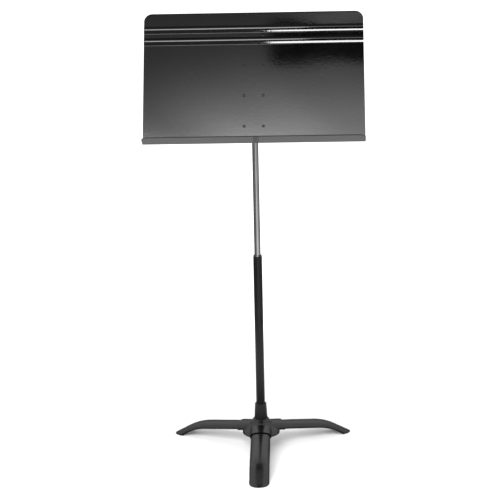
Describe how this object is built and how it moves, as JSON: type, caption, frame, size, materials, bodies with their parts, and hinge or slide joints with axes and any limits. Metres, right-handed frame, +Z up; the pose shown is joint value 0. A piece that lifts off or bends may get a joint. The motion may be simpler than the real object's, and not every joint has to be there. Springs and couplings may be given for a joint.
{
  "type": "music stand",
  "caption": "Orchestral music stand: splayed-leg steel base, chrome shaft that slides and swivels in a friction clutch, and a tilting sheet-metal desk with a shelf.",
  "frame": {"origin": "on the floor, at the centre of the whole stand's bounding box; the shaft's axis stands 56 mm behind it", "axes": "+Z up, -Y out of the front of the desk towards the player, X across the desk"},
  "size_m": [0.508, 0.3824, 1.0515],
  "materials": {
    "base_enamel": "black gloss enamel",
    "desk_enamel": "black fine-textured baked enamel on sheet",
    "shaft_chrome": "bright chrome plate",
    "zinc_steel": "bright zinc plate",
    "nylon": "moulded, matte",
    "glide_rubber": "moulded rubber"
  },
  "bodies": {
    "base": {"base_hub": "base_enamel", "hub_socket": "base_enamel", "leg_front": "base_enamel", "leg_right": "base_enamel", "leg_left": "base_enamel", "foot_glide_front": "glide_rubber", "foot_glide_right": "glide_rubber", "foot_glide_left": "glide_rubber", "outer_tube": "base_enamel", "clutch_collet": "nylon", "clutch_cap": "base_enamel"},
    "guide": {"shaft_guide": "nylon"},
    "shaft": {"inner_shaft": "shaft_chrome", "shaft_plug": "nylon", "neck_head": "zinc_steel", "friction_disc_left": "nylon", "friction_disc_right": "nylon"},
    "desk": {"desk_panel": "desk_enamel", "desk_bracket": "base_enamel", "rivet_left_1": "desk_enamel", "rivet_right_1": "desk_enamel", "rivet_left_2": "desk_enamel", "rivet_right_2": "desk_enamel", "rivet_left_3": "desk_enamel", "rivet_right_3": "desk_enamel", "rivet_left_4": "desk_enamel", "rivet_right_4": "desk_enamel", "pivot_bolt": "zinc_steel", "pivot_nut": "zinc_steel", "pivot_washer_left": "zinc_steel", "pivot_washer_right": "zinc_steel", "spring_washer": "zinc_steel"}
  },
  "joints": [
    {"name": "shaft_slide", "type": "slide", "parent": "base", "child": "guide", "axis": [0, 0, 1], "range_m": [-0.11, 0.246]},
    {"name": "shaft_swivel", "type": "hinge", "parent": "guide", "child": "shaft", "pos_m": [0, 0.056, 0.3], "axis": [0, 0, 1], "continuous": true},
    {"name": "desk_tilt", "type": "hinge", "parent": "shaft", "child": "desk", "pos_m": [0, 0.056, 0.8615], "axis": [-1, 0, 0], "range_deg": [-30, 60]}
  ]
}
